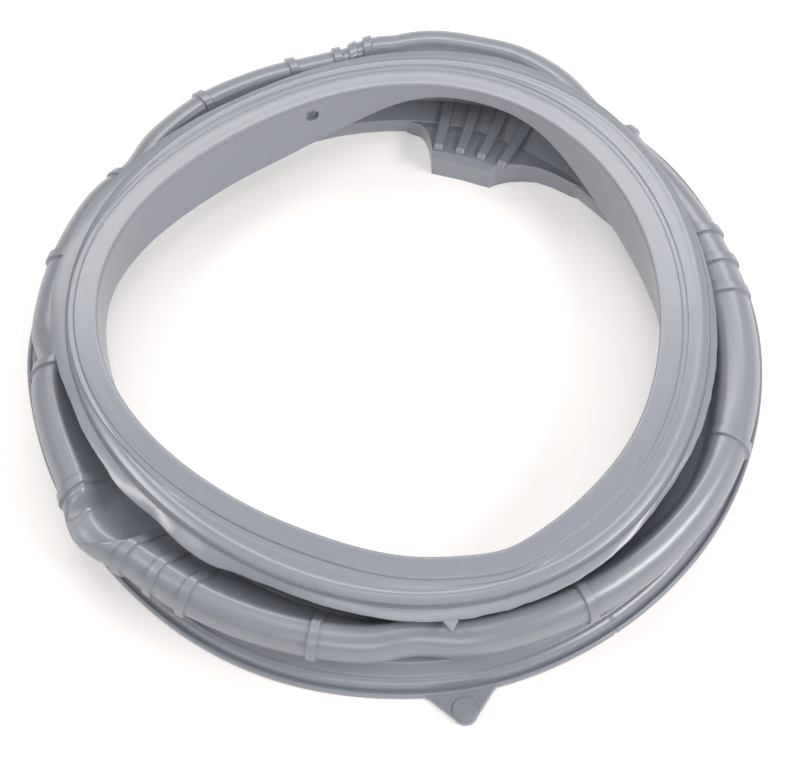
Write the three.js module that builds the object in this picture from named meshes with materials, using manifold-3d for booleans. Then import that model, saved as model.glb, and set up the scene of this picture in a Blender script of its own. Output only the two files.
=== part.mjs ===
// Washing machine door seal: one moulded rubber ring, lying on its wide tub side.
// Millimetres, +Z up. Angles are degrees round the seal, seen from above, 0 along +X.
import * as THREE from 'three';
import Module from 'manifold-3d';

// Wide ring that clamps on the tub, lying on the floor
const baseRadius = 200;
const baseWaviness = 1.5;
const footWidth = 7.5;
const footHeight = 3.6;
const clampGrooveWidth = 2.8;
const clampRidgeHeight = 9.6;
const creaseHeight = 17;

// Inner rim of the wide ring, just outside the door opening, and the floor that joins it to the crease
const rimSetback = 5.4;
const rimHeight = 11.8;
const rimThickness = 3.3;
const wall = 3;

// Rounded fold between the two rings
const foldRadius = 192.9;
const foldThickness = 12;
const foldHeight = 28;
const creviceDepth = 13;

// Narrow ring at the door, on top
const doorOpeningRadius = 145.6;
const doorRingWidth = 24;
const doorRingHeight = 56;
const doorRingDrop = 3.4;
const ringGroovePlace = 13.8;
const ringGrooveWidth = 3.4;
const ringGrooveDepth = 1.3;
const threeCornered = 5.9;
const flashLip = 6;
const rimRadius = doorOpeningRadius + rimSetback;

// Apron that hangs down from the inner edge of the door ring, with its arch and drain hole
const apronDepth = 33;
const apronLean = 3.6;
const apronThickness = 2.4;
const archAngle = 71.9;
const archReach = 27.2;
const archRise = 24.4;
const drainHoleAngle = 110;
const drainHoleDiameter = 7;
const drainHoleHeight = 45;

// Narrow raised bands across the fold
const bandWidth = 5.8;
const bandProud = 1.6;
const bandSlope = 0.9;
const lowerLeftBands = [225, 230.7, 236.6];
const rightBands = [6.5, 12.7, 19];
const farBands = [95.3, 98, 100.9];
const singleBands = [44, 109.3, 126.6, 148, 167, 188, 210.8, 257.3, 300.3, 338];

// Ribbed block inside the arch
const blockAngle = 72.9;
const blockSpan = 16;
const blockReach = 27;
const blockHeight = 20;
const blockBevel = 2.6;
const ribCount = 4;
const ribPitch = 5.55;
const ribWidth = 5;
const ribProud = 3.2;
const ribReach = 40;

// Locating lug on the foot, and arrow on the flash lip
const lugAngle = 279.3;
const lugLength = 17;
const lugWidth = 35;
const lugTip = 6.5;
const lugThickness = 3.4;
const lugDisc = 13;
const arrowAngle = 278.4;
const arrowLength = 6.2;
const arrowWidth = 7.6;

const step = 7.5;
const turn = Math.PI / 180;

function apart(angle, centre) {
  return ((angle - centre + 540) % 360) - 180;
}

function wave(angle, count, size, peak) {
  return size * Math.cos(count * (angle - peak) * turn);
}

function bump(angle, centre, reach, size, power = 2) {
  return size * Math.exp(-Math.pow(Math.abs(apart(angle, centre)) / reach, power));
}

// The soft rings are pulled out of round: three wide corners and a slight shift
function baseEdge(angle) {
  const near = bump(angle, 248, 18, 1.5) + bump(angle, 283, 12, 0.8) + bump(angle, 330, 16, 0.7);
  const sides = bump(angle, 181, 9, 1.5) - bump(angle, 22, 12, 2.6);
  return baseRadius + wave(angle, 3, baseWaviness, 278) + near + sides;
}

// The inner rim runs wide at the left, and comes in beside the ribbed block
function rimEdge(angle) {
  return rimRadius + bump(angle, 176, 26, 13, 4) - bump(angle, 49, 17, 5.6, 4);
}

function openingEdge(angle) {
  const shift = wave(angle, 1, 4.9, 212) + wave(angle, 2, 1.5, 346) + wave(angle, 4, 1.4, 3);
  const dents = bump(angle, 256, 15, 1.9) + bump(angle, 312, 11, 1.3) - bump(angle, 290.5, 7, 2.4);
  return doorOpeningRadius + shift + wave(angle, 3, threeCornered, 59) - dents;
}

function doorRingEdge(angle) {
  const shift = wave(angle, 1, 2.7, 265);
  return doorOpeningRadius + doorRingWidth + shift + wave(angle, 3, 0.78 * threeCornered, 56);
}

function lipEdge(angle) {
  const shift = wave(angle, 1, 4.2, 246) + wave(angle, 4, 1.5, 348);
  const free = doorOpeningRadius + doorRingWidth + flashLip + shift;
  return Math.max(free + wave(angle, 3, threeCornered, 58), doorRingEdge(angle) + 1.5);
}

// The fold bulges at the far side, and has a packing kink at lower left and three dents
function foldEdge(angle) {
  const shift = wave(angle, 1, 5.7, 249) + wave(angle, 2, 1.5, 159) + wave(angle, 3, 2.9, 95.6);
  const bulge = bump(angle, 73.5, 19.2, 14.8, 4) + bump(angle, 94.8, 3.2, 2.8, 4) + bump(angle, 70, 5, 1.5);
  const swell = bump(angle, 127, 8, 1.8) + bump(angle, 166, 20, 2.2) + bump(angle, 44, 2.4, 2.6);
  const kink = bump(angle, 217.8, 6.2, 8.2);
  const dents = bump(angle, 273, 5, 4.3) + bump(angle, 186, 3, 4.5) + bump(angle, 145.5, 5, 4.8);
  return foldRadius + shift + bulge + swell + kink - dents - bump(angle, 106, 6, 1.4);
}

function apronFoot(angle) {
  const arch = bump(angle, archAngle, archReach, archRise, 2.9) - bump(angle, 130, 20, 2.2, 4);
  return doorRingHeight - apronDepth + arch;
}

// The apron leans inwards, more at far left, and flares outwards at the right
function apronSlant(angle) {
  const flare = bump(angle, 354, 21, 8.5) + bump(angle, 172, 12, 3.5);
  return apronLean + bump(angle, 134, 20, 1.2, 4) - flare;
}

const bandAngles = [...lowerLeftBands, ...rightBands, ...farBands, ...singleBands];
bandAngles.sort((a, b) => a - b);
const bandHalf = bandWidth / 2 / foldRadius / turn;
const bandEdge = bandSlope / foldRadius / turn;

function bandRise(angle) {
  let share = 0;
  for (const centre of bandAngles) {
    const inside = (bandHalf - Math.abs(apart(angle, centre))) / bandEdge;
    share = Math.max(share, Math.min(1, inside));
  }
  return share * bandProud;
}

// Angles of the sweep: the foot and the top of every band, and even steps between them
function sweepAngles() {
  const marks = [];
  for (const centre of bandAngles) {
    marks.push(centre - bandHalf);
    marks.push(centre - bandHalf + bandEdge);
    marks.push(centre + bandHalf - bandEdge);
    marks.push(centre + bandHalf);
  }
  marks.push(marks[0] + 360);
  const angles = [];
  for (let i = 0; i + 1 < marks.length; i++) {
    const gap = marks[i + 1] - marks[i];
    const parts = Math.max(1, Math.round(gap / step));
    for (let k = 0; k < parts; k++) {
      angles.push(marks[i] + (gap * k) / parts);
    }
  }
  return angles;
}

// One closed section through the rubber at an angle, as corners of radius and height
function section(angle) {
  const base = baseEdge(angle);
  const door = openingEdge(angle);
  const edge = doorRingEdge(angle);
  const lip = lipEdge(angle);
  const fold = foldEdge(angle) - foldThickness;
  const rise = bandRise(angle);
  const foot = apronFoot(angle);
  const top = doorRingHeight;
  const brim = top - doorRingDrop;
  const lean = (apronSlant(angle) * (top - foot)) / apronDepth;
  const rim = rimEdge(angle);
  const crevice = foldHeight + foldThickness - creviceDepth;
  const groove = door + ringGroovePlace;
  const ridge = base - 1.2 - clampGrooveWidth;
  const crease = base - footWidth - 5.5;
  const corners = [];

  // Foot, clamp groove and clamp ridge, up to the crease
  corners.push([base, 0]);
  corners.push([base, footHeight]);
  corners.push([base - 1.4, footHeight + 0.6]);
  corners.push([base - 1.4 - clampGrooveWidth / 2, footHeight - 1]);
  corners.push([ridge, clampRidgeHeight - 1.6]);
  corners.push([ridge - 2.4, clampRidgeHeight]);
  corners.push([crease, creaseHeight]);

  // Outside of the fold, raised where a band crosses it
  const reach = foldThickness + rise;
  for (const lift of [-58, -28, 2, 32, 62, 92]) {
    const out = fold + reach * Math.cos(lift * turn);
    corners.push([out, foldHeight + reach * Math.sin(lift * turn)]);
  }
  corners.push([fold - 3.5, foldHeight + 9.5 + rise]);

  // Bottom of the crevice, up the side of the door ring and round the flash lip
  corners.push([edge - 0.2, crevice]);
  corners.push([edge - 2.5, brim - 5.6]);
  corners.push([lip, brim - 3.6]);
  corners.push([lip, brim - 2.6]);
  corners.push([edge + 0.4, brim - 1.4]);
  corners.push([edge - 0.4, brim]);

  // Face of the door ring with its groove
  corners.push([edge - 4.2, brim + 1.6]);
  corners.push([groove + ringGrooveWidth / 2, top - 1.6]);
  corners.push([groove, top - 1.3 - ringGrooveDepth]);
  corners.push([groove - ringGrooveWidth / 2, top - 1]);
  corners.push([door + 1, top]);
  corners.push([door, top - 0.8]);

  // Apron, down its inner face and up its outer face
  corners.push([door - 0.6 * lean, foot + 0.45 * (top - foot)]);
  corners.push([door - lean, foot]);
  corners.push([door - lean + 0.8 * apronThickness, foot - 0.6]);
  corners.push([door + apronThickness, top - wall - 1]);

  // Inside of the door ring, of the crevice and of the fold
  corners.push([edge - wall - 1, brim - wall]);
  corners.push([edge - wall - 3.1, crevice + 3]);
  corners.push([edge - 0.2, crevice - wall - 0.8]);
  corners.push([fold, foldHeight + foldThickness - wall - 1.4]);
  corners.push([fold + 7, foldHeight + 5.5]);
  corners.push([fold + foldThickness - wall, foldHeight - 2]);
  corners.push([0.5 * (fold + 4 + base - footWidth - 8.5), creaseHeight + wall + 0.4]);

  // Floor from the crease to the inner rim, round the rim and back under the floor
  corners.push([rimRadius + 21, rimHeight + 5]);
  corners.push([rim, rimHeight]);
  corners.push([rim + 1.2, 0]);
  corners.push([rim + 1.2 + rimThickness, 0]);
  corners.push([rim + 0.6 + rimThickness, rimHeight - wall]);
  corners.push([rimRadius + 22, rimHeight + 5 - wall]);
  corners.push([base - footWidth - 9.5, creaseHeight - wall - 1]);
  corners.push([base - footWidth, 0]);
  return corners;
}

function place([radius, height], angle) {
  return [radius * Math.cos(angle * turn), radius * Math.sin(angle * turn), height];
}

// The whole seal: its section carried once round
function ringMesh() {
  const angles = sweepAngles();
  const points = [];
  for (const angle of angles) {
    for (const corner of section(angle)) {
      points.push(place(corner, angle));
    }
  }
  const count = section(0).length;
  const faces = [];
  for (let j = 0; j < angles.length; j++) {
    const next = (j + 1) % angles.length;
    for (let i = 0; i < count; i++) {
      const up = (i + 1) % count;
      faces.push([j * count + i, next * count + i, next * count + up]);
      faces.push([j * count + i, next * count + up, j * count + up]);
    }
  }
  return { points, faces };
}

// A closed body between two copies of a flat outline
function loft(outline, lower, upper) {
  const count = outline.length;
  const flat = outline.map(([x, y]) => new THREE.Vector2(x, y));
  if (THREE.ShapeUtils.area(flat) < 0) {
    throw new Error('an outline runs clockwise');
  }
  const faces = [];
  for (const [a, b, c] of THREE.ShapeUtils.triangulateShape(flat, [])) {
    faces.push([a, c, b]);
    faces.push([a + count, b + count, c + count]);
  }
  for (let i = 0; i < count; i++) {
    const next = (i + 1) % count;
    faces.push([i, next, next + count]);
    faces.push([i, next + count, i + count]);
  }
  return { points: [...outline.map(lower), ...outline.map(upper)], faces };
}

function plate(outline, low, high) {
  return loft(outline, ([x, y]) => [x, y, low], ([x, y]) => [x, y, high]);
}

// A profile of radius and height, standing at an angle and as wide as given
function slab(profile, angle, width) {
  const side = (shift) => ([radius, height]) => {
    const x = radius * Math.cos(angle * turn) + shift * Math.sin(angle * turn);
    const y = radius * Math.sin(angle * turn) - shift * Math.cos(angle * turn);
    return [x, y, height];
  };
  return loft(profile, side(-width / 2), side(width / 2));
}

// Plan of the ribbed block: flared sides that run into the inner rim
function blockPlan() {
  const front = rimRadius - blockReach;
  const back = rimRadius + 2;
  const left = blockAngle + blockSpan / 2;
  const right = blockAngle - blockSpan / 2;
  const corners = [
    [front + 0.98 * blockReach, left + 6],
    [front + 0.92 * blockReach, left + 3.9],
    [front + 0.75 * blockReach, left + 2.4],
    [front + 0.55 * blockReach, left + 1.5],
    [front + 0.3 * blockReach, left + 0.7],
    [front, left],
    [front - 0.6, blockAngle],
    [front, right],
    [front + 0.16 * blockReach, right - 1.5],
    [front + 0.32 * blockReach, right - 3.6],
    [front + 0.48 * blockReach, right - 6.4],
    [front + 0.62 * blockReach, right - 9.4],
    [front + 0.7 * blockReach, right - 12.7],
  ];
  const spread = left + 8 - (right - 16);
  for (let k = 0; k <= 6; k++) {
    corners.push([back, right - 16 + (spread * k) / 6]);
  }
  return corners.map(([radius, angle]) => place([radius, 0], angle).slice(0, 2));
}

// Side view of the ribbed block, carried across it: a bevelled front and a falling top
function blockProfile() {
  const front = rimRadius - blockReach - 1;
  const bevel = front + blockBevel + 1;
  return [
    [front, -1],
    [rimRadius + 4, -1],
    [rimRadius + 4, rimHeight + 0.4],
    [rimRadius, rimHeight - 0.3],
    [bevel, blockHeight],
    [front, blockHeight - blockBevel - 1],
  ];
}

function ribProfile() {
  const start = rimRadius - blockReach + blockBevel + 0.6;
  return [
    [start, blockHeight - 3],
    [rimRadius, rimHeight - 1.5],
    [start + ribReach, rimHeight + 2],
    [start + ribReach, rimHeight + 3.6 + ribProud],
    [rimRadius + 1, rimHeight + ribProud],
    [start + 2.6, blockHeight + ribProud - 1.2],
    [start, blockHeight - 0.4],
  ];
}

// Plan of the lug: sides that narrow to a round tip
function lugPlan() {
  const root = baseEdge(lugAngle) - 1.2;
  const far = baseEdge(lugAngle) + lugLength - lugTip;
  const corners = [[-lugWidth / 2 - 1, root], [lugWidth / 2 + 1, root], [lugWidth / 2 - 2.4, root + 3.6]];
  for (let k = 0; k <= 6; k++) {
    const round = (25 + (130 * k) / 6) * turn;
    corners.push([lugTip * Math.cos(round), far + lugTip * Math.sin(round)]);
  }
  corners.push([-lugWidth / 2 + 2.4, root + 3.6]);
  return corners.map(([across, out]) => {
    const c = Math.cos(lugAngle * turn);
    const s = Math.sin(lugAngle * turn);
    return [out * c + across * s, out * s - across * c];
  });
}

function discPlan(radius, angle, diameter) {
  const [x, y] = place([radius, 0], angle);
  const corners = [];
  for (let k = 0; k < 20; k++) {
    const round = k * 18 * turn;
    corners.push([x + 0.5 * diameter * Math.cos(round), y + 0.5 * diameter * Math.sin(round)]);
  }
  return corners;
}

function arrowPlan() {
  const root = lipEdge(arrowAngle) - 2;
  const half = arrowWidth / 2 / root / turn;
  const corners = [
    [root, arrowAngle + half],
    [root, arrowAngle - half],
    [root + 2.4, arrowAngle - 0.8 * half],
    [root + 2 + arrowLength, arrowAngle - 0.06 * half],
    [root + 2 + arrowLength, arrowAngle + 0.06 * half],
    [root + 2.4, arrowAngle + 0.8 * half],
  ];
  return corners.map(([radius, angle]) => place([radius, 0], angle).slice(0, 2));
}

// Drain hole: a round drill through the apron, pointing at the axis
function drillMesh() {
  const start = openingEdge(drainHoleAngle) - 9;
  const ring = [];
  for (let k = 0; k < 16; k++) {
    const round = k * 22.5 * turn;
    ring.push([0.5 * drainHoleDiameter * Math.cos(round), 0.5 * drainHoleDiameter * Math.sin(round)]);
  }
  const at = (radius) => ([across, up]) => {
    const c = Math.cos(drainHoleAngle * turn);
    const s = Math.sin(drainHoleAngle * turn);
    return [radius * c - across * s, radius * s + across * c, drainHoleHeight + up];
  };
  return loft(ring, at(start), at(start + 14));
}

// The block's side view carried across the angles of its plan
function blockSweep() {
  const profile = blockProfile();
  const first = blockAngle - blockSpan / 2 - 18;
  const last = blockAngle + blockSpan / 2 + 10;
  const parts = 9;
  const points = [];
  for (let j = 0; j <= parts; j++) {
    const angle = first + ((last - first) * j) / parts;
    for (const corner of profile) {
      points.push(place(corner, angle));
    }
  }
  const count = profile.length;
  const faces = [];
  for (let j = 0; j < parts; j++) {
    for (let i = 0; i < count; i++) {
      const up = (i + 1) % count;
      faces.push([j * count + i, (j + 1) * count + i, (j + 1) * count + up]);
      faces.push([j * count + i, (j + 1) * count + up, j * count + up]);
    }
  }
  const flat = profile.map(([x, y]) => new THREE.Vector2(x, y));
  for (const [a, b, c] of THREE.ShapeUtils.triangulateShape(flat, [])) {
    faces.push([a, b, c]);
    faces.push([a + parts * count, c + parts * count, b + parts * count]);
  }
  return { points, faces };
}

const wasm = await Module();
wasm.setup();

function solid({ points, faces }) {
  const mesh = new wasm.Mesh({
    numProp: 3,
    vertProperties: new Float32Array(points.flat()),
    triVerts: new Uint32Array(faces.flat()),
  });
  return new wasm.Manifold(mesh);
}

let seal = solid(ringMesh());
const block = solid(plate(blockPlan(), 0, blockHeight + 5));
seal = seal.add(block.intersect(solid(blockSweep())));
for (let k = 0; k < ribCount; k++) {
  const angle = blockAngle + (k - (ribCount - 1) / 2) * ribPitch - 1.3;
  seal = seal.add(solid(slab(ribProfile(), angle, ribWidth)));
}
seal = seal.add(solid(plate(lugPlan(), 0, lugThickness)));
const discRadius = baseEdge(lugAngle) + 9.4;
seal = seal.add(solid(plate(discPlan(discRadius, lugAngle, lugDisc), 1, lugThickness + 0.9)));
const lipHeight = doorRingHeight - doorRingDrop - 3.5;
seal = seal.add(solid(plate(arrowPlan(), lipHeight, lipHeight + 0.8)));
seal = seal.subtract(solid(drillMesh()));

const mesh = seal.getMesh();
const geometry = new THREE.BufferGeometry();
geometry.setAttribute('position', new THREE.Float32BufferAttribute(mesh.vertProperties, 3));
geometry.setIndex(Array.from(mesh.triVerts));
geometry.computeBoundingBox();
const box = geometry.boundingBox;
geometry.translate(-0.5 * (box.min.x + box.max.x), -0.5 * (box.min.y + box.max.y), -box.min.z);
geometry.computeVertexNormals();

const rubber = new THREE.MeshStandardMaterial({ color: 0x9aa3ad, roughness: 0.45, metalness: 0 });
const part = new THREE.Mesh(geometry, rubber);
part.name = 'door_seal';
const group = new THREE.Group();
group.name = 'washing_machine_door_seal';
group.add(part);
export default group;
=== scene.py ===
"""A grey rubber washing machine door seal lying on a white table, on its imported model."""

import math

import bpy
import numpy as np
from bpy.props import FloatProperty, FloatVectorProperty, PointerProperty
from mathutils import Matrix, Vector


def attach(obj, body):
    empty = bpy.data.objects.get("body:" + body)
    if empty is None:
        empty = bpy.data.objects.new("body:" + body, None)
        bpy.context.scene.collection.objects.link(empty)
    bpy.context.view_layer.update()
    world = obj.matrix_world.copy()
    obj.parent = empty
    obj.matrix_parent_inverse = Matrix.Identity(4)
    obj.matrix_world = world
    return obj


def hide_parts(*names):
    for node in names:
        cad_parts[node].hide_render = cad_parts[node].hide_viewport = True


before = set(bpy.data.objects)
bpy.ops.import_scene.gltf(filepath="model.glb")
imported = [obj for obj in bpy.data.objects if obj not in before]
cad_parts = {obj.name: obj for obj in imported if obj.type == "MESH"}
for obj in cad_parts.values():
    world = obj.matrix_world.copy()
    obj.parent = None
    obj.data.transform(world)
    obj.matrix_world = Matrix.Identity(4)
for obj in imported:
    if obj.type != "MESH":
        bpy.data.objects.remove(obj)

bl_info = {
    "name": "Washing machine door seal",
    "version": (1, 0, 0),
    "blender": (4, 5, 0),
    "location": "3D View > Sidebar > Door seal",
    "description": "Builds a moulded rubber door seal with its fold, bands, lip and ribbed block",
    "category": "Add Mesh",
}

MM = 0.001

# Lengths below are in millimetres and angles in degrees round the seal, where nothing else is said

# Axis of the seal in the frame, whose origin is the middle of the bounding box
AXIS_X = 1.399
AXIS_Y = 8.215

# Wide ring on the floor
FOOT_WIDTH = 7.5
FOOT_HEIGHT = 3.6
CLAMP_GROOVE_WIDTH = 2.8
CLAMP_GROOVE_SETBACK = 1.2
CLAMP_RIDGE_HEIGHT = 9.6
CREASE_HEIGHT = 17.0
RIM_SETBACK = 5.4
RIM_HEIGHT = 11.8
RIM_THICKNESS = 3.3
WALL = 3.0

# Fold between the rings
FOLD_THICKNESS = 12.0
FOLD_HEIGHT = 28.0
CREVICE_DEPTH = 19.0
CREVICE_UNDERCUT = 4.0
ARC_START = -62.0
ARC_SWEEP = 160.0
ARC_POINTS = 23
SHOULDER_INSET = 4.2
SHOULDER_HEIGHT = 9.0

# Side of the crevice, as shares of the way from the shoulder to the bottom, gentle and steep
UPPER_SHARE = 0.34
LOWER_SHARE = 0.9
STEEP_UPPER_SHARE = 1.4 / 12.0
STEEP_LOWER_SHARE = 0.2

# At the right the crevice has a steep side, and the fold's shoulder is tucked under the lip
STEEP_PLACE = (345, 32, 1.0, 4)
TUCK_PLACE = (0, 27, 6.0, 4)

# Door ring and its apron
DOOR_RING_WIDTH = 24.0
DOOR_RING_HEIGHT = 56.0
DOOR_RING_DROP = 3.4
RING_GROOVE_PLACE = 13.8
RING_GROOVE_WIDTH = 3.4
RING_GROOVE_DEPTH = 0.9
FLASH_LIP = 6.0
APRON_DEPTH = 33.0
APRON_LEAN = 3.6
APRON_THICKNESS = 2.4
DRAIN_HOLE_ANGLE = 110.0
DRAIN_HOLE_HEIGHT = 45.0
DRAIN_HOLE_DIAMETER = 7.0
DRAIN_DRILL_LENGTH = 14.0

# Swells and dents of the soft rings: (angle, reach, size in mm, flatness)
BASE_SWELLS = [(248, 18, 1.5, 2), (283, 12, 0.8, 2), (330, 16, 0.7, 2), (181, 9, 1.5, 2), (22, 12, -2.6, 2)]
RIM_SWELLS = [(176, 26, 13, 4), (49, 17, -5.6, 4)]
OPENING_SWELLS = [(256, 15, -1.9, 2), (312, 11, -1.3, 2), (290.5, 7, 2.4, 2)]
LIP_SWELLS = [(252, 10, -2.6, 2), (321, 12, -2.8, 2), (341, 11, -0.9, 2), (198, 6, -2.0, 2)]
LIP_SWELLS += [(217, 4, 1.8, 2), (187, 6, -1.5, 2), (232, 6, 2.2, 2), (264, 5, -0.9, 2)]
FOLD_BULGES = [(73.5, 19.2, 14.8, 4), (94.8, 3.2, 2.8, 4), (70, 5, 1.5, 2), (127, 8, 1.8, 2)]
FOLD_BULGES += [(166, 20, 2.2, 2), (44, 2.4, 2.6, 2), (217.8, 6.2, 8.2, 2)]
FOLD_DENTS = [(273, 5, -4.3, 2), (186, 3, -4.5, 2), (145.5, 5, -4.8, 2), (106, 6, -1.4, 2)]
APRON_SWELLS = [(71.9, 27.2, 24.4, 2.9), (130, 20, -2.2, 4)]
APRON_SLANTS = [(134, 20, 1.2, 4), (354, 21, -8.5, 2), (172, 12, -3.5, 2)]

# Thin lip: where it is trimmed roughly, and the crumpled stretch at lower left
RAGGED_EVERYWHERE = 0.35
RAGGED_PLACES = [(285.5, 4.5, 1.5, 4), (330, 30, 0.3, 2)]
CRUMPLE_PLACE = (234, 17, 1.0, 4)
CRUMPLE_WANDER = 1.1
CRUMPLE_SAG = 2.2
LIP_SAG = 1.2
LIP_SAG_WANDER = 0.35

# Packing kink at lower left: the fold is pressed in up to a ridge that crosses it at a slant
KINK_START = 212.2
KINK_RUN_IN = 3.0
KINK_END_OUTER = 213.5
KINK_END_INNER = 224.0
KINK_SINK = 9.5

# Moulded seam low on the fold, between the close bands at lower left
SEAM_PLACE = (232.5, 5.5, 0.8, 6)
SEAM_HEIGHT_SHARE = 0.27
SEAM_THICKNESS_SHARE = 0.035

# Fine line across the foot where the mould was parted
PARTING_ANGLE = 304.0
PARTING_REACH = 0.22
PARTING_MARGIN = 0.6

# Raised bands across the fold, at their angles round the seal
BAND_WIDTH = 5.8
BAND_PROUD = 1.7
BAND_SLOPE = 0.6
BANDS = [225, 230.7, 236.6, 6.5, 12.7, 19, 95.3, 98, 100.9]
BANDS += [44, 109.3, 126.6, 148, 167, 188, 210.8, 257.3, 300.3, 338]

# Ribbed block
BLOCK_ANGLE = 72.9
BLOCK_SPAN = 16.0
BLOCK_REACH = 27.0
BLOCK_HEIGHT = 20.0
BLOCK_BEVEL = 2.6
BLOCK_BEVEL_DROP = 4.6
BLOCK_BULGE = 0.6
BLOCK_STOCK_HEIGHT = 40.0
BLOCK_EDGE_ROUND = 0.9
RIB_COUNT = 4
RIB_PITCH = 5.55
RIB_WIDTH = 5.4
RIB_SPREAD = 1.8
RIB_PROUD = 3.2
RIB_REACH = 40.0
RIB_TURN = -1.6
RIB_EDGE_ROUND = 1.2

# Locating lug with its disc
LUG_ANGLE = 279.3
LUG_LENGTH = 17.0
LUG_WIDTH = 35.0
LUG_TIP = 6.5
LUG_THICKNESS = 3.4
LUG_TUCK = 1.2
LUG_FLARE = 1.4
LUG_DISC = 13.0
LUG_DISC_OUT = 9.4
LUG_DISC_PROUD = 0.9
LUG_EDGE_ROUND = 0.8
LUG_DISC_ROUND = 0.5

# Small arrow on the lip
ARROW_ANGLE = 278.4
ARROW_LENGTH = 5.0
ARROW_WIDTH = 9.0
ARROW_TUCK = 2.0
ARROW_DROP = 4.7
ARROW_TILT = 0.35
ARROW_EDGE_ROUND = 0.2

# Sweep steps in degrees: fine in the kink, coarser between bands
FINE_STEP = 0.24
COARSE_STEP = 1.35
SMALLEST_STEP = 0.035
BAND_ROWS = [-1.2, -0.3, 0.0, 0.25, 0.5, 0.75, 1.0, 1.3]

# Gloss of the rubber
SPECULAR = 0.8

# Soft lights: (name, azimuth, elevation, distance in m, size in m, share of the radiance)
LIGHT_COLOUR = (1.0, 0.975, 0.96)
SOFTBOXES = [
    ("back_softbox", 93.0, 50.0, 1.8, (2.3, 0.6), 0.46),
    ("right_softbox", -21.0, 41.0, 1.8, (1.0, 0.42), 1.35),
    ("left_softbox", 188.0, 46.0, 1.8, (0.5, 0.42), 1.15),
    ("front_softbox", 268.0, 30.0, 1.9, (1.0, 0.45), 0.42),
    ("top_softbox", 270.0, 80.0, 1.9, (0.9, 0.6), 0.27),
]

# Table and camera
TABLE_SIZE = 12.0
TABLE_GAP = 0.0002
TABLE_COLOUR = (0.82, 0.798, 0.79)
TABLE_ROUGHNESS = 0.75
SENSOR_WIDTH = 36.0
AIM_X = 1.5
AIM_Y = -14.0


class SealSizes(bpy.types.PropertyGroup):
    """Sizes of the seal, in metres."""

    base_radius: FloatProperty(
        name="Base radius", description="Radius of the wide ring", default=0.2, unit="LENGTH"
    )
    opening_radius: FloatProperty(
        name="Opening radius", description="Radius of the door opening", default=0.1456, unit="LENGTH"
    )
    fold_radius: FloatProperty(
        name="Fold radius", description="Outer radius of the fold", default=0.1929, unit="LENGTH"
    )
    raggedness: FloatProperty(
        name="Lip raggedness", description="How far the trimmed lip wanders", default=0.0005, unit="LENGTH"
    )


class SealLooks(bpy.types.PropertyGroup):
    """Colours and gloss of the rubber."""

    rubber: FloatVectorProperty(
        name="Rubber", description="Colour of the rubber", subtype="COLOR", size=3,
        default=(0.242, 0.26, 0.301), min=0.0, max=1.0,
    )
    rubber_dark: FloatVectorProperty(
        name="Darker rubber", description="Colour of the cloudy patches", subtype="COLOR", size=3,
        default=(0.23, 0.247, 0.287), min=0.0, max=1.0,
    )
    dust: FloatVectorProperty(
        name="Bloom", description="Colour of the pale bloom on upward faces", subtype="COLOR", size=3,
        default=(0.262, 0.279, 0.318), min=0.0, max=1.0,
    )
    roughness: FloatProperty(
        name="Roughness", description="Roughness of the rubber", default=0.29, subtype="FACTOR",
        min=0.0, max=1.0,
    )


class StageSettings(bpy.types.PropertyGroup):
    """Camera and light."""

    elevation: FloatProperty(
        name="Elevation", description="Camera angle above the horizon", default=math.radians(59.6),
        subtype="ANGLE",
    )
    distance: FloatProperty(
        name="Distance", description="Camera distance from the seal", default=1.3, unit="LENGTH"
    )
    lens: FloatProperty(
        name="Lens", description="Focal length in millimetres on a 36 mm wide sensor", default=107.3
    )
    zenith: FloatProperty(name="Zenith", description="Brightness of the room overhead", default=0.24)
    horizon: FloatProperty(name="Horizon", description="Brightness of the room at eye level", default=0.34)
    softbox: FloatProperty(name="Softboxes", description="Radiance of the soft lights", default=10.0)
    glow: FloatProperty(name="Table glow", description="Light that the white table gives off", default=0.3)


def apart(angle, centre):
    """Signed difference of two angles in degrees."""
    return (angle - centre + 540.0) % 360.0 - 180.0


def wave(angle, count, size, peak):
    """A swell that comes back `count` times round the ring, highest at the peak angle."""
    return size * np.cos(np.radians(count * (angle - peak)))


def bump(angle, centre, reach, size, flatness=2.0):
    """One swell round an angle, flatter on top the higher its flatness."""
    return size * np.exp(-np.power(np.abs(apart(angle, centre)) / reach, flatness))


def smooth(share):
    """A soft step from 0 to 1."""
    share = np.clip(share, 0.0, 1.0)
    return share * share * (3.0 - 2.0 * share)


def ripple(angle, lowest, octaves, seed):
    """A repeatable wandering value between about -1 and 1 round the ring."""
    rng = np.random.default_rng(seed)
    total = np.zeros_like(angle)
    size = 0.0
    for k in range(octaves):
        count = int(lowest * 1.7**k)
        weight = 0.62**k
        total += weight * np.cos(np.radians(count * angle) + rng.uniform(0.0, 2.0 * math.pi))
        size += weight
    return total / size


def swells(angle, places):
    """Sum of the swells and dents in a list of (angle, reach, size, flatness)."""
    return sum(bump(angle, *place) for place in places)


def base_edge(angle, sizes):
    """Outer radius of the wide ring."""
    return sizes.base_radius / MM + wave(angle, 3, 1.5, 278) + swells(angle, BASE_SWELLS)


def rim_radius(sizes):
    """Radius of the inner rim where it is round."""
    return sizes.opening_radius / MM + RIM_SETBACK


def rim_edge(angle, sizes):
    """Radius of the inner rim, which follows the block and the fold's bulge."""
    return rim_radius(sizes) + swells(angle, RIM_SWELLS)


def opening_edge(angle, sizes):
    """Radius of the door opening."""
    shift = wave(angle, 1, 4.9, 212) + wave(angle, 2, 1.5, 346) + wave(angle, 4, 1.4, 3)
    return sizes.opening_radius / MM + shift + wave(angle, 3, 5.9, 59) + swells(angle, OPENING_SWELLS)


def door_ring_edge(angle, sizes):
    """Outer radius of the door ring's face."""
    shift = wave(angle, 1, 2.7, 265) + wave(angle, 3, 4.6, 56)
    return sizes.opening_radius / MM + DOOR_RING_WIDTH + shift


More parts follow.
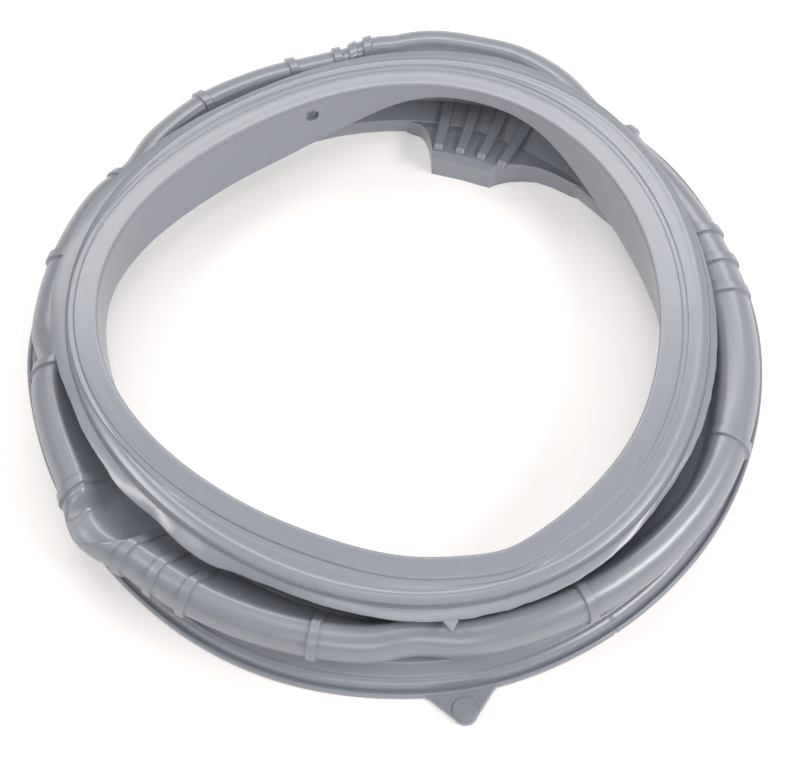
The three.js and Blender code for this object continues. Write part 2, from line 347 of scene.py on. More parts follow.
def lip_edge(angle, sizes):
    """Radius of the thin lip outside the door ring."""
    shift = wave(angle, 1, 4.2, 246) + wave(angle, 4, 1.5, 348) + wave(angle, 3, 5.9, 58)
    free = sizes.opening_radius / MM + DOOR_RING_WIDTH + FLASH_LIP + shift + swells(angle, LIP_SWELLS)
    return np.maximum(free, door_ring_edge(angle, sizes) + 1.5)


def fold_edge(angle, sizes):
    """Outer radius of the fold without its bands."""
    shift = wave(angle, 1, 5.7, 249) + wave(angle, 2, 1.5, 159) + wave(angle, 3, 2.9, 95.6)
    return sizes.fold_radius / MM + shift + swells(angle, FOLD_BULGES) + swells(angle, FOLD_DENTS)


def apron_foot(angle):
    """Height of the hanging apron's lower edge."""
    return DOOR_RING_HEIGHT - APRON_DEPTH + swells(angle, APRON_SWELLS)


def edge_at(edge, angle, sizes):
    """One of the seal's edges at a single angle."""
    return float(edge(np.array([angle]), sizes)[0])


def degree_length(sizes):
    """Length of one degree along the fold."""
    return sizes.fold_radius / MM * math.pi / 180.0


def band_rise(angle, sizes):
    """Height of the bands over the fold at each angle."""
    degree = degree_length(sizes)
    share = np.zeros_like(angle)
    for centre in BANDS:
        off = np.abs(apart(angle, centre)) * degree
        share = np.maximum(share, smooth((BAND_WIDTH / 2.0 - off) / BAND_SLOPE))
    return share * BAND_PROUD


def sweep_angles(sizes):
    """Angles round the seal, close together at band edges, at the parting line and in the kink."""
    edge = BAND_WIDTH / 2.0 - BAND_SLOPE * np.array(BAND_ROWS)
    across = np.concatenate([-edge, [0.0], edge]) / degree_length(sizes)
    spots = [np.arange(0.0, 360.0, COARSE_STEP)]
    spots.append(np.arange(KINK_START, KINK_END_INNER + 0.5, FINE_STEP))
    spots += [centre + across for centre in BANDS]
    spots.append(PARTING_ANGLE + np.arange(-PARTING_MARGIN, PARTING_MARGIN + 0.01, FINE_STEP))
    angles = [0.0]
    for angle in np.sort(np.concatenate(spots) % 360.0):
        if angle - angles[-1] > SMALLEST_STEP:
            angles.append(float(angle))
    return np.array(angles)


def section(angle, sizes):
    """Corners of the section at every angle: (radius, height, rounding, points in the round)."""
    base = base_edge(angle, sizes)
    rim = rim_edge(angle, sizes)
    door = opening_edge(angle, sizes)
    edge = door_ring_edge(angle, sizes)
    fold = fold_edge(angle, sizes) - FOLD_THICKNESS
    rise = band_rise(angle, sizes)
    foot = apron_foot(angle)
    top = np.full_like(angle, DOOR_RING_HEIGHT)
    brim = top - DOOR_RING_DROP
    lean = (APRON_LEAN + swells(angle, APRON_SLANTS)) * (top - foot) / APRON_DEPTH
    crevice = FOLD_HEIGHT + FOLD_THICKNESS - CREVICE_DEPTH
    bottom = edge - CREVICE_UNDERCUT
    steep = bump(angle, *STEEP_PLACE)
    shoulder = fold - SHOULDER_INSET - bump(angle, *TUCK_PLACE)
    upper_share = UPPER_SHARE + steep * (STEEP_UPPER_SHARE - UPPER_SHARE)
    lower_share = LOWER_SHARE + steep * (STEEP_LOWER_SHARE - LOWER_SHARE)
    upper = shoulder + upper_share * (bottom - shoulder)
    lower = shoulder + lower_share * (bottom - shoulder)
    groove = door + RING_GROOVE_PLACE
    parting = bump(angle, PARTING_ANGLE, PARTING_REACH, 1.0, 4.0)
    ridge = base - CLAMP_GROOVE_SETBACK - CLAMP_GROOVE_WIDTH
    crease = base - FOOT_WIDTH - 5.5
    zero = np.zeros_like(angle)

    # The thin lip wanders where it was trimmed, and is crumpled at lower left
    ragged = RAGGED_EVERYWHERE + swells(angle, RAGGED_PLACES)
    crumple = bump(angle, *CRUMPLE_PLACE)
    lip = lip_edge(angle, sizes)
    lip = lip + sizes.raggedness / MM * ragged * ripple(angle, 60, 6, 3)
    lip = lip + crumple * CRUMPLE_WANDER * ripple(angle, 15, 3, 11)
    sag = LIP_SAG + crumple * (CRUMPLE_SAG + ripple(angle, 17, 3, 5))
    sag = sag + LIP_SAG_WANDER * ripple(angle, 11, 3, 8)

    # In the kink the upper half of the fold is pressed down into the crevice
    kinked = smooth((angle - KINK_START) / KINK_RUN_IN)
    pressed = kinked * smooth(KINK_END_INNER - angle)
    sink = KINK_SINK * pressed
    seam = bump(angle, *SEAM_PLACE)

    # Foot, clamp groove, ridge and crease
    corners = [
        (base - 0.6 * parting, zero, 0.5, 2),
        (base - 0.6 * parting, zero + FOOT_HEIGHT, 0.9, 4),
        (base - 1.4, zero + FOOT_HEIGHT + 0.6 - 0.5 * parting, 0.5, 2),
        (base - 1.4 - CLAMP_GROOVE_WIDTH / 2.0, zero + FOOT_HEIGHT - 1.6, 0.6, 3),
        (ridge, zero + CLAMP_RIDGE_HEIGHT - 1.2 - 0.4 * parting, 0.6, 3),
        (ridge - 2.4, zero + CLAMP_RIDGE_HEIGHT + 0.3 - 0.5 * parting, 0.7, 4),
        (ridge - 4.2, zero + CLAMP_RIDGE_HEIGHT + 0.2, 1.2, 3),
        (crease, zero + CREASE_HEIGHT, 1.2, 3),
    ]

    # Round of the fold from low outside to its top, with the kink and the seam
    for share in np.linspace(0.0, 1.0, ARC_POINTS):
        lift = math.radians(ARC_START + ARC_SWEEP * share)
        ends = KINK_END_OUTER + (KINK_END_INNER - KINK_END_OUTER) * share
        low = KINK_SINK * kinked * smooth(ends - angle) * smooth((math.sin(lift) + 0.15) / 1.15)
        seam_here = math.exp(-(((share - SEAM_HEIGHT_SHARE) / SEAM_THICKNESS_SHARE) ** 2))
        reach = FOLD_THICKNESS + rise + seam * seam_here
        corners.append((fold + reach * math.cos(lift), FOLD_HEIGHT + reach * math.sin(lift) - low, 0.0, 1))

    # Down into the crevice, up under the lip and over the edge of the door ring
    corners += [
        (shoulder - 0.3 * sink, FOLD_HEIGHT + SHOULDER_HEIGHT + rise - 0.95 * sink, 1.5 + 1.5 * pressed, 3),
        (upper, FOLD_HEIGHT + 3.5 + rise - 0.7 * sink, 2.0, 2),
        (lower, crevice + 1.6 - steep, 1.5, 2),
        (bottom, zero + crevice, 1.5, 2),
        (bottom - 1.0, brim - 6.2 - 0.5 * sag, 1.5, 3),
        (lip, brim - 3.6 - sag, 0.35, 2),
        (lip - 0.1, brim - 2.7 - sag, 0.3, 3),
        (edge + 1.5, brim - 2.3 - 0.2 * sag, 0.3, 3),
        (edge + 0.5, brim - 3.2, 0.3, 3),
        (edge + 0.2, brim - 1.6, 0.4, 3),
        (edge - 0.2, brim, 0.8, 5),
    ]

    # Face of the door ring with the bead in its groove
    corners += [
        (edge - 4.2, brim + 1.6, 2.5, 5),
        (edge - 7.0, 0.5 * (brim + top) - 0.6, 3.0, 3),
        (groove + RING_GROOVE_WIDTH / 2.0, top - 1.3, 0.4, 3),
        (groove + 0.5 * RING_GROOVE_WIDTH - 0.5, top - 1.2 - RING_GROOVE_DEPTH, 0.3, 3),
        (groove, top - 1.8, 0.5, 4),
        (groove - 0.5 * RING_GROOVE_WIDTH + 0.5, top - 0.9 - RING_GROOVE_DEPTH, 0.3, 3),
        (groove - RING_GROOVE_WIDTH / 2.0, top - 0.8, 0.4, 3),
        (door + 6.0, top - 0.5, 3.0, 3),
        (door + 1.0, top, 0.9, 3),
        (door, top - 0.8, 0.6, 3),
    ]

    # Hanging apron
    corners += [
        (door - 0.2 * lean, foot + 0.75 * (top - foot), 3.0, 3),
        (door - 0.55 * lean, foot + 0.45 * (top - foot), 3.0, 3),
        (door - 0.85 * lean, foot + 0.2 * (top - foot), 3.0, 2),
        (door - lean, foot, 0.5, 3),
        (door - lean + 0.8 * APRON_THICKNESS, foot - 0.6, 0.7, 3),
    ]

    # Inside of the door ring, of the crevice and of the fold
    corners += [
        (door + APRON_THICKNESS, top - WALL - 1.0, 0.0, 1),
        (edge - WALL - 1.0, brim - WALL, 0.0, 1),
        (bottom - WALL - 2.9, zero + crevice + 3.0, 0.0, 1),
        (bottom, zero + crevice - WALL - 0.8, 0.0, 1),
        (lower + 3.2, crevice + 0.2 - WALL - steep, 0.0, 1),
        (upper + 3.4, zero + FOLD_HEIGHT + 1.0 - 0.7 * sink, 0.0, 1),
        (fold + 0.2, zero + FOLD_HEIGHT + FOLD_THICKNESS - WALL - 1.4 - sink, 0.0, 1),
        (fold + 7.0, zero + FOLD_HEIGHT + 5.5 - 0.8 * sink, 0.0, 1),
        (fold + FOLD_THICKNESS - WALL, zero + FOLD_HEIGHT - 2.0 - 0.3 * sink, 0.0, 1),
    ]

    # Floor of the seal, inner rim and underside
    corners += [
        (0.5 * (fold + 4.0 + base - FOOT_WIDTH - 8.5), zero + CREASE_HEIGHT + WALL + 0.4, 2.0, 2),
        (rim_radius(sizes) + 21.0 + zero, zero + RIM_HEIGHT + 5.0, 4.0, 3),
        (rim, zero + RIM_HEIGHT, 0.8, 3),
        (rim + 1.2, zero, 0.5, 3),
        (rim + 1.2 + RIM_THICKNESS, zero, 0.5, 2),
        (rim + 0.6 + RIM_THICKNESS, zero + RIM_HEIGHT - WALL, 1.5, 2),
        (rim_radius(sizes) + 22.0 + zero, zero + RIM_HEIGHT + 5.0 - WALL, 4.0, 2),
        (base - FOOT_WIDTH - 9.5, zero + CREASE_HEIGHT - WALL - 1.0, 2.0, 2),
        (base - FOOT_WIDTH, zero, 0.5, 2),
    ]
    return corners


def rounded(corners):
    """Radius and height of the section with its corners rounded, as (angles, points) arrays."""
    radius = np.stack([corner[0] for corner in corners], axis=1)
    height = np.stack([corner[1] for corner in corners], axis=1)
    flat = np.stack([radius, height], axis=2)
    before = np.roll(flat, 1, axis=1) - flat
    after = np.roll(flat, -1, axis=1) - flat
    columns = []
    for i, (_, _, cut, count) in enumerate(corners):
        centre = flat[:, i]
        if count == 1:
            columns.append(centre)
            continue
        back = np.linalg.norm(before[:, i], axis=1)
        on = np.linalg.norm(after[:, i], axis=1)
        size = np.minimum(cut, 0.45 * np.minimum(back, on))
        start = centre + before[:, i] * (size / back)[:, None]
        end = centre + after[:, i] * (size / on)[:, None]
        for t in np.linspace(0.0, 1.0, count):
            columns.append((1 - t) ** 2 * start + 2 * t * (1 - t) * centre + t**2 * end)
    return np.stack(columns, axis=1)


def place(radius, angle, height):
    """A point in the frame, in metres, from a radius, an angle in degrees and a height."""
    turn = math.radians(angle)
    x = AXIS_X + radius * math.cos(turn)
    y = AXIS_Y + radius * math.sin(turn)
    return (x * MM, y * MM, height * MM)


def mesh_object(name, points, faces):
    """A smooth-shaded object from points and faces."""
    mesh = bpy.data.meshes.new(name)
    mesh.from_pydata(points, [], faces)
    mesh.validate()
    mesh.shade_smooth()
    obj = bpy.data.objects.new(name, mesh)
    bpy.context.scene.collection.objects.link(obj)
    return obj


def sweep_mesh(name, angle, points):
    """A closed tube of sections round the axis."""
    turns = np.radians(angle)[:, None]
    x = (AXIS_X + points[:, :, 0] * np.cos(turns)) * MM
    y = (AXIS_Y + points[:, :, 0] * np.sin(turns)) * MM
    z = np.maximum(points[:, :, 1], 0.0) * MM
    rows, columns = x.shape
    vertices = np.stack([x, y, z], axis=2).reshape(-1, 3)
    j, i = np.meshgrid(np.arange(rows), np.arange(columns), indexing="ij")
    next_j, next_i = (j + 1) % rows, (i + 1) % columns
    quads = np.stack(
        [j * columns + i, next_j * columns + i, next_j * columns + next_i, j * columns + next_i], axis=2
    )
    return mesh_object(name, vertices.tolist(), quads.reshape(-1, 4).tolist())


def prism_object(name, lower, upper):
    """A closed body between two outlines with the same number of corners."""
    count = len(lower)
    faces = [tuple(reversed(range(count))), tuple(range(count, 2 * count))]
    for i in range(count):
        on = (i + 1) % count
        faces.append((i, on, on + count, i + count))
    return mesh_object(name, list(lower) + list(upper), faces)


def soften(obj, width, segments=3, angle=30.0):
    """Rounds the edges of a piece and keeps its flat faces flat."""
    bevel = obj.modifiers.new("Rounded edges", "BEVEL")
    bevel.width = width * MM
    bevel.segments = segments
    bevel.limit_method = "ANGLE"
    bevel.angle_limit = math.radians(angle)
    bevel.harden_normals = True
    apply_modifiers(obj)


def apply_modifiers(obj):
    """Turns the modifiers of a piece into its mesh."""
    depsgraph = bpy.context.evaluated_depsgraph_get()
    mesh = bpy.data.meshes.new_from_object(obj.evaluated_get(depsgraph))
    old = obj.data
    obj.modifiers.clear()
    obj.data = mesh
    bpy.data.meshes.remove(old)


def boolean(obj, other, operation):
    """Cuts a piece with another, which is then removed."""
    modifier = obj.modifiers.new("Cut", "BOOLEAN")
    modifier.operation = operation
    modifier.solver = "EXACT"
    modifier.object = other
    apply_modifiers(obj)
    bpy.data.objects.remove(other)


def finish_piece(obj):
    """The piece rides on the part's one body and takes the rubber's slot and material."""
    obj.data.materials.clear()
    obj.data.materials.append(rubber_material())
    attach(obj, "root")


def new_group(name, outputs):
    """An empty shader group with the named outputs, and its output node."""
    tree = bpy.data.node_groups.new(name, "ShaderNodeTree")
    for label, kind in outputs:
        tree.interface.new_socket(name=label, in_out="OUTPUT", socket_type=kind)
    return tree, tree.nodes.new("NodeGroupOutput")


def node(tree, kind, **values):
    """A shader node with its settings and unlinked inputs filled in."""
    made = tree.nodes.new(kind)
    for key, value in values.items():
        if hasattr(made, key):
            setattr(made, key, value)
        else:
            made.inputs[key].default_value = value
    return made


def cloud_group():
    """Soft cloudy patches and a pale bloom on faces that look up."""
    if "Rubber clouds" in bpy.data.node_groups:
        return bpy.data.node_groups["Rubber clouds"]
    tree, out = new_group(
        "Rubber clouds", [("Patches", "NodeSocketFloat"), ("Bloom", "NodeSocketFloat")]
    )
    place_in = node(tree, "ShaderNodeTexCoord")
    wide = node(tree, "ShaderNodeTexNoise", Scale=16.0, Detail=4.0, Roughness=0.55)
    fine = node(tree, "ShaderNodeTexNoise", Scale=210.0, Detail=3.0, Roughness=0.6)
    for noise in (wide, fine):
        tree.links.new(place_in.outputs["Object"], noise.inputs["Vector"])
    spread = node(tree, "ShaderNodeMapRange", clamp=True)
    spread.inputs["From Min"].default_value = 0.35
    spread.inputs["From Max"].default_value = 0.7
    tree.links.new(wide.outputs["Fac"], spread.inputs["Value"])
    tree.links.new(spread.outputs["Result"], out.inputs["Patches"])
    facing = node(tree, "ShaderNodeNewGeometry")
    split = node(tree, "ShaderNodeSeparateXYZ")
    tree.links.new(facing.outputs["Normal"], split.inputs["Vector"])
    up = node(tree, "ShaderNodeMapRange", clamp=True)
    up.inputs["From Min"].default_value = 0.45
    up.inputs["From Max"].default_value = 1.0
    tree.links.new(split.outputs["Z"], up.inputs["Value"])
    mixed = node(tree, "ShaderNodeMath", operation="MULTIPLY")
    tree.links.new(up.outputs["Result"], mixed.inputs[0])
    tree.links.new(fine.outputs["Fac"], mixed.inputs[1])
    tree.links.new(mixed.outputs["Value"], out.inputs["Bloom"])
    return tree


def skin_group():
    """Fine orange peel of the moulded skin, with faint flow waves, as a normal."""
    if "Rubber skin" in bpy.data.node_groups:
        return bpy.data.node_groups["Rubber skin"]
    tree, out = new_group("Rubber skin", [("Normal", "NodeSocketVector")])
    place_in = node(tree, "ShaderNodeTexCoord")
    peel = node(tree, "ShaderNodeTexNoise", Scale=420.0, Detail=2.0, Roughness=0.5)
    flow = node(tree, "ShaderNodeTexNoise", Scale=38.0, Detail=2.0, Roughness=0.5)
    for noise in (peel, flow):
        tree.links.new(place_in.outputs["Object"], noise.inputs["Vector"])
    wide = node(tree, "ShaderNodeBump", Strength=0.25, Distance=0.0012)
    close = node(tree, "ShaderNodeBump", Strength=0.12, Distance=0.0003)
    tree.links.new(flow.outputs["Fac"], wide.inputs["Height"])
    tree.links.new(peel.outputs["Fac"], close.inputs["Height"])
    tree.links.new(wide.outputs["Normal"], close.inputs["Normal"])
    tree.links.new(close.outputs["Normal"], out.inputs["Normal"])
    return tree


def rubber_material():
    """Satin grey moulded rubber."""
    if "Grey rubber" in bpy.data.materials:
        return bpy.data.materials["Grey rubber"]
    looks = bpy.context.scene.seal_looks
    material = bpy.data.materials.new("Grey rubber")
    material.use_nodes = True
    tree = material.node_tree
    shader = tree.nodes["Principled BSDF"]
    clouds = tree.nodes.new("ShaderNodeGroup")
    clouds.node_tree = cloud_group()
    skin = tree.nodes.new("ShaderNodeGroup")
    skin.node_tree = skin_group()
    patches = node(tree, "ShaderNodeMix", data_type="RGBA")
    patches.inputs["A"].default_value = (*looks.rubber_dark, 1.0)
    patches.inputs["B"].default_value = (*looks.rubber, 1.0)
    bloom = node(tree, "ShaderNodeMix", data_type="RGBA")
    bloom.inputs["B"].default_value = (*looks.dust, 1.0)
    tree.links.new(clouds.outputs["Patches"], patches.inputs["Factor"])
    tree.links.new(patches.outputs["Result"], bloom.inputs["A"])
    tree.links.new(clouds.outputs["Bloom"], bloom.inputs["Factor"])
    tree.links.new(bloom.outputs["Result"], shader.inputs["Base Color"])
    tree.links.new(skin.outputs["Normal"], shader.inputs["Normal"])
    shader.inputs["Roughness"].default_value = looks.roughness
    shader.inputs["Specular IOR Level"].default_value = SPECULAR
    return material


class SEAL_OT_ring(bpy.types.Operator):
    """Builds the moulded ring: foot, fold with its bands, door ring, lip and apron"""

    bl_idname = "seal.ring"
    bl_label = "Moulded ring"

    def execute(self, context):
        sizes = context.scene.seal_sizes
        angle = sweep_angles(sizes)
        points = rounded(section(angle, sizes))
        ring = sweep_mesh("rubber_seal", angle, points)
        middle = edge_at(opening_edge, DRAIN_HOLE_ANGLE, sizes) - 2.0
        turn = math.radians(DRAIN_HOLE_ANGLE)
        out = Vector((math.cos(turn), math.sin(turn), 0.0))
        bpy.ops.mesh.primitive_cylinder_add(
            vertices=48, radius=0.5 * DRAIN_HOLE_DIAMETER * MM, depth=DRAIN_DRILL_LENGTH * MM,
            location=place(middle, DRAIN_HOLE_ANGLE, DRAIN_HOLE_HEIGHT),
            rotation=out.to_track_quat("Z", "Y").to_euler(),
        )
        boolean(ring, context.object, "DIFFERENCE")
        finish_piece(ring)
        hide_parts("door_seal")
        return {"FINISHED"}


def block_plan(rim):
    """Plan of the ribbed block as (radius, angle), from its left side round the front."""
    front = rim - BLOCK_REACH
    left = BLOCK_ANGLE + BLOCK_SPAN / 2.0
    right = BLOCK_ANGLE - BLOCK_SPAN / 2.0
    flare_left = [(0.98, 6.0), (0.92, 3.9), (0.84, 3.1), (0.75, 2.4), (0.55, 1.5), (0.3, 0.7)]
    flare_right = [(0.08, 0.6), (0.16, 1.5), (0.32, 3.6), (0.48, 6.4), (0.62, 9.4), (0.7, 12.7)]
    flare_right += [(0.745, 15.5), (0.79, 18.0), (0.88, 20.0)]
    rows = [(front + share * BLOCK_REACH, left + out) for share, out in flare_left]
    rows += [(front, left), (front - BLOCK_BULGE, BLOCK_ANGLE), (front, right)]
    rows += [(front + share * BLOCK_REACH, right - out) for share, out in flare_right]
    rows += [(rim + 2.5, float(angle)) for angle in np.linspace(right - 20.0, left + 8.0, 13)]
    return rows


def block_top(radius, rim):
    """Height of the block's top: a bevel at the front, then a fall to the rim."""
    front = rim - BLOCK_REACH - BLOCK_BULGE
    if radius < front + BLOCK_BEVEL:
        return BLOCK_HEIGHT + BLOCK_BEVEL_DROP * ((radius - front) / BLOCK_BEVEL - 1.0)
    share = (radius - front - BLOCK_BEVEL) / (rim - front - BLOCK_BEVEL)
    return BLOCK_HEIGHT + (RIM_HEIGHT - 0.3 - BLOCK_HEIGHT) * min(1.0, share)


def block_object(rim):
    """The block's plan, cut along its bevel line so that its top follows its own height."""
    rows = block_plan(rim)
    lower = [place(radius, angle, 0.0) for radius, angle in rows]
    upper = [place(radius, angle, BLOCK_STOCK_HEIGHT) for radius, angle in rows]
    body = prism_object("ribbed_block", lower, upper)
    front = rim - BLOCK_REACH - BLOCK_BULGE
    radii = [front - 2.4, front, front + BLOCK_BEVEL, rim, rim + 5.0]
    first = BLOCK_ANGLE - BLOCK_SPAN / 2.0 - 22.0
    last = BLOCK_ANGLE + BLOCK_SPAN / 2.0 + 10.0
    angles = np.linspace(first, last, 25)
    points = []
    for angle in angles:
        points += [place(radius, angle, -2.0) for radius in radii]
        points += [place(radius, angle, block_top(radius, rim)) for radius in reversed(radii)]
    count = 2 * len(radii)
    faces = [tuple(range(count)), tuple(reversed(range(len(points) - count, len(points))))]
    for j in range(len(angles) - 1):
        for i in range(count):
            on = (i + 1) % count
            faces.append((j * count + i, (j + 1) * count + i, (j + 1) * count + on, j * count + on))
    envelope = mesh_object("block_envelope", points, faces)
    boolean(body, envelope, "INTERSECT")
    soften(body, BLOCK_EDGE_ROUND, 3, 24.0)
    return body


def rib_object(index, rim):
    """One rib: a raised bar that widens from the front of the block up the floor of the seal."""
    angle = BLOCK_ANGLE + (index - (RIB_COUNT - 1) / 2.0) * RIB_PITCH + RIB_TURN
    start = rim - BLOCK_REACH + BLOCK_BEVEL + 0.6
    profile = [
        (start, BLOCK_HEIGHT - 3.0),
        (rim, RIM_HEIGHT - 1.5),
        (start + RIB_REACH, RIM_HEIGHT + 2.0),
        (start + RIB_REACH, RIM_HEIGHT + 3.6 + RIB_PROUD),
        (rim + 6.0, RIM_HEIGHT + 1.2 + RIB_PROUD),
        (rim - 6.0, RIM_HEIGHT + 2.0 + RIB_PROUD),
        (start + 3.0, BLOCK_HEIGHT + RIB_PROUD - 2.0),
        (start, BLOCK_HEIGHT - 0.6),
    ]
    across = Vector((math.sin(math.radians(angle)), -math.cos(math.radians(angle)), 0.0))
    lower, upper = [], []
    for radius, height in profile:
        half = 0.5 * (RIB_WIDTH + RIB_SPREAD * (radius - start) / RIB_REACH)
        middle = Vector(place(radius, angle, height))
        lower.append(tuple(middle - across * (half * MM)))
        upper.append(tuple(middle + across * (half * MM)))
    rib = prism_object(f"block_rib_{index + 1}", lower, upper)
    soften(rib, RIB_EDGE_ROUND, 4, 20.0)
    return rib


class SEAL_OT_block(bpy.types.Operator):
    """Builds the ribbed block and its ribs"""

    bl_idname = "seal.block"
    bl_label = "Ribbed block"

    def execute(self, context):
        rim = rim_radius(context.scene.seal_sizes)
        finish_piece(block_object(rim))
        for index in range(RIB_COUNT):
            finish_piece(rib_object(index, rim))
        return {"FINISHED"}


def lug_plan(sizes):
    """Plan of the lug as (across, out)."""
    edge = edge_at(base_edge, LUG_ANGLE, sizes)
    root = edge - LUG_TUCK
    far = edge + LUG_LENGTH - LUG_TIP
    rows = [(-LUG_WIDTH / 2.0 - LUG_FLARE, root), (LUG_WIDTH / 2.0 + LUG_FLARE, root)]
    side = [(LUG_WIDTH / 2.0 - 0.6, root + 1.6), (LUG_WIDTH / 2.0 - 2.4, root + 3.6)]
    rows += side
    for k in range(15):
        turn = math.radians(25.0 + 130.0 * k / 14.0)
        rows.append((LUG_TIP * math.cos(turn), far + LUG_TIP * math.sin(turn)))
    rows += [(-across, out) for across, out in reversed(side)]
    return rows


class SEAL_OT_lug(bpy.types.Operator):
    """Builds the locating lug on the foot, with its raised disc"""

    bl_idname = "seal.lug"
    bl_label = "Locating lug"

    def execute(self, context):
        sizes = context.scene.seal_sizes
        turn = math.radians(LUG_ANGLE)
        rows = []
        for across, out in lug_plan(sizes):
            x = AXIS_X + out * math.cos(turn) + across * math.sin(turn)
            y = AXIS_Y + out * math.sin(turn) - across * math.cos(turn)
            rows.append((x * MM, y * MM))
        lower = [(x, y, 0.0) for x, y in rows]
        upper = [(x, y, LUG_THICKNESS * MM) for x, y in rows]
        lug = prism_object("locating_lug", lower, upper)
        soften(lug, LUG_EDGE_ROUND)
        finish_piece(lug)
        root = edge_at(base_edge, LUG_ANGLE, sizes)
        bpy.ops.mesh.primitive_cylinder_add(
            vertices=72, radius=0.5 * LUG_DISC * MM, depth=(LUG_THICKNESS - 0.1) * MM,
            location=place(root + LUG_DISC_OUT, LUG_ANGLE, 0.5 * (1.0 + LUG_THICKNESS + LUG_DISC_PROUD)),
        )
        disc = context.object
        disc.name = "lug_disc"
        disc.data.shade_smooth()
        soften(disc, LUG_DISC_ROUND)
        finish_piece(disc)
        return {"FINISHED"}


class SEAL_OT_arrow(bpy.types.Operator):
    """Builds the small pointed arrow on the thin lip"""

    bl_idname = "seal.arrow"
    bl_label = "Lip arrow"

    def execute(self, context):
        sizes = context.scene.seal_sizes
        root = edge_at(lip_edge, ARROW_ANGLE, sizes) - ARROW_TUCK
        half = math.degrees(0.5 * ARROW_WIDTH / root)
        rows = [
            (root, ARROW_ANGLE + half),
            (root, ARROW_ANGLE - half),
            (root + 2.4, ARROW_ANGLE - 0.8 * half),
            (root + ARROW_TUCK + ARROW_LENGTH, ARROW_ANGLE - 0.06 * half),
            (root + ARROW_TUCK + ARROW_LENGTH, ARROW_ANGLE + 0.06 * half),
            (root + 2.4, ARROW_ANGLE + 0.8 * half),
        ]
        low = DOOR_RING_HEIGHT - DOOR_RING_DROP - ARROW_DROP
        lower = [place(radius, angle, low - ARROW_TILT * (radius - root)) for radius, angle in rows]
        upper = [place(radius, angle, low + 1.0 - ARROW_TILT * (radius - root)) for radius, angle in rows]
        arrow = prism_object("lip_arrow", lower, upper)
        soften(arrow, ARROW_EDGE_ROUND, 2)
        finish_piece(arrow)
        return {"FINISHED"}


def plain_material(name, colour, roughness, glow):
    """A plain material that also gives off a little of its own colour."""
    material = bpy.data.materials.new(name)
    material.use_nodes = True
    shader = material.node_tree.nodes["Principled BSDF"]
    shader.inputs["Base Color"].default_value = (*colour, 1.0)
    shader.inputs["Roughness"].default_value = roughness
    shader.inputs["Emission Color"].default_value = (*colour, 1.0)
    shader.inputs["Emission Strength"].default_value = glow
    return material


def softbox(name, azimuth, elevation, distance, size, radiance):
    """A flat soft light, placed by its direction from the seal and turned to face it."""
    data = bpy.data.lights.new(name, "AREA")
    data.shape = "RECTANGLE"
    data.size, data.size_y = size
    data.energy = radiance * math.pi * size[0] * size[1]
    data.color = LIGHT_COLOUR
    light = bpy.data.objects.new(name, data)
    turn, rise = math.radians(azimuth), math.radians(elevation)
    away = Vector((math.cos(turn) * math.cos(rise), math.sin(turn) * math.cos(rise), math.sin(rise)))
    light.location = away * distance
    light.rotation_euler = (-away).to_track_quat("-Z", "Y").to_euler()
    bpy.context.scene.collection.objects.link(light)
    return light


def studio_world(settings):
    """White overhead, dimmer towards the horizon."""
    world = bpy.data.worlds.new("Studio")
    bpy.context.scene.world = world
    world.use_nodes = True
    tree = world.node_tree
    background = tree.nodes["Background"]
    place_in = node(tree, "ShaderNodeTexCoord")
    split = node(tree, "ShaderNodeSeparateXYZ")
    ramp = node(tree, "ShaderNodeMapRange", clamp=True)
    ramp.inputs["From Min"].default_value = 0.0
    ramp.inputs["From Max"].default_value = 0.9
    ramp.inputs["To Min"].default_value = settings.horizon
    ramp.inputs["To Max"].default_value = settings.zenith
    tree.links.new(place_in.outputs["Generated"], split.inputs["Vector"])
    tree.links.new(split.outputs["Z"], ramp.inputs["Value"])
    tree.links.new(ramp.outputs["Result"], background.inputs["Strength"])
    background.inputs["Color"].default_value = (1.0, 0.995, 0.985, 1.0)


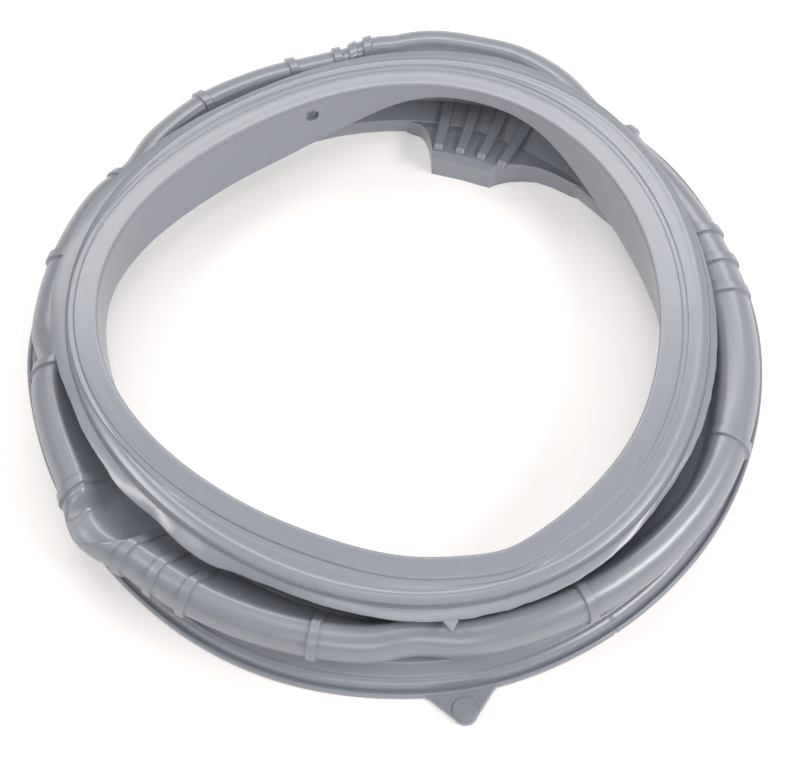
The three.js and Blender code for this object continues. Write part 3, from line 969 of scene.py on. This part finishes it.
class SEAL_OT_stage(bpy.types.Operator):
    """Sets the table, the light and the camera"""

    bl_idname = "seal.stage"
    bl_label = "Stage"

    def execute(self, context):
        settings = context.scene.seal_stage
        bpy.ops.mesh.primitive_plane_add(size=TABLE_SIZE, location=(0.0, 0.0, -TABLE_GAP))
        floor = context.object
        floor.name = "table"
        white = plain_material("White table", TABLE_COLOUR, TABLE_ROUGHNESS, settings.glow)
        floor.data.materials.append(white)
        studio_world(settings)
        lights = [softbox(*row[:5], row[5] * settings.softbox) for row in SOFTBOXES]
        data = bpy.data.cameras.new("photo_camera")
        data.lens = settings.lens
        data.sensor_width = SENSOR_WIDTH
        camera = bpy.data.objects.new("photo_camera", data)
        context.scene.collection.objects.link(camera)
        target = Vector(((AXIS_X + AIM_X) * MM, (AXIS_Y + AIM_Y) * MM, 0.0))
        back = Vector((0.0, -math.cos(settings.elevation), math.sin(settings.elevation)))
        camera.location = target + back * settings.distance
        camera.rotation_euler = (-back).to_track_quat("-Z", "Y").to_euler()
        context.scene.camera = camera
        context.scene.view_settings.view_transform = "Standard"
        return {"FINISHED"}


class SEAL_PT_panel(bpy.types.Panel):
    """Door seal"""

    bl_idname = "SEAL_PT_panel"
    bl_label = "Door seal"
    bl_space_type = "VIEW_3D"
    bl_region_type = "UI"
    bl_category = "Door seal"

    def draw(self, context):
        for group in (context.scene.seal_sizes, context.scene.seal_looks, context.scene.seal_stage):
            for name in group.__annotations__:
                self.layout.prop(group, name)
        for operator in OPERATORS:
            self.layout.operator(operator.bl_idname)


GROUPS = {"seal_sizes": SealSizes, "seal_looks": SealLooks, "seal_stage": StageSettings}
OPERATORS = [SEAL_OT_ring, SEAL_OT_block, SEAL_OT_lug, SEAL_OT_arrow, SEAL_OT_stage]


def register():
    for name, group in GROUPS.items():
        bpy.utils.register_class(group)
        setattr(bpy.types.Scene, name, PointerProperty(type=group))
    for operator in OPERATORS:
        bpy.utils.register_class(operator)
    bpy.utils.register_class(SEAL_PT_panel)


def unregister():
    bpy.utils.unregister_class(SEAL_PT_panel)
    for operator in reversed(OPERATORS):
        bpy.utils.unregister_class(operator)
    for name, group in GROUPS.items():
        delattr(bpy.types.Scene, name)
        bpy.utils.unregister_class(group)


def main():
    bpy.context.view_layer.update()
    register()
    bpy.ops.seal.ring()
    bpy.ops.seal.block()
    bpy.ops.seal.lug()
    bpy.ops.seal.arrow()
    bpy.ops.seal.stage()


if __name__ == "__main__":
    main()
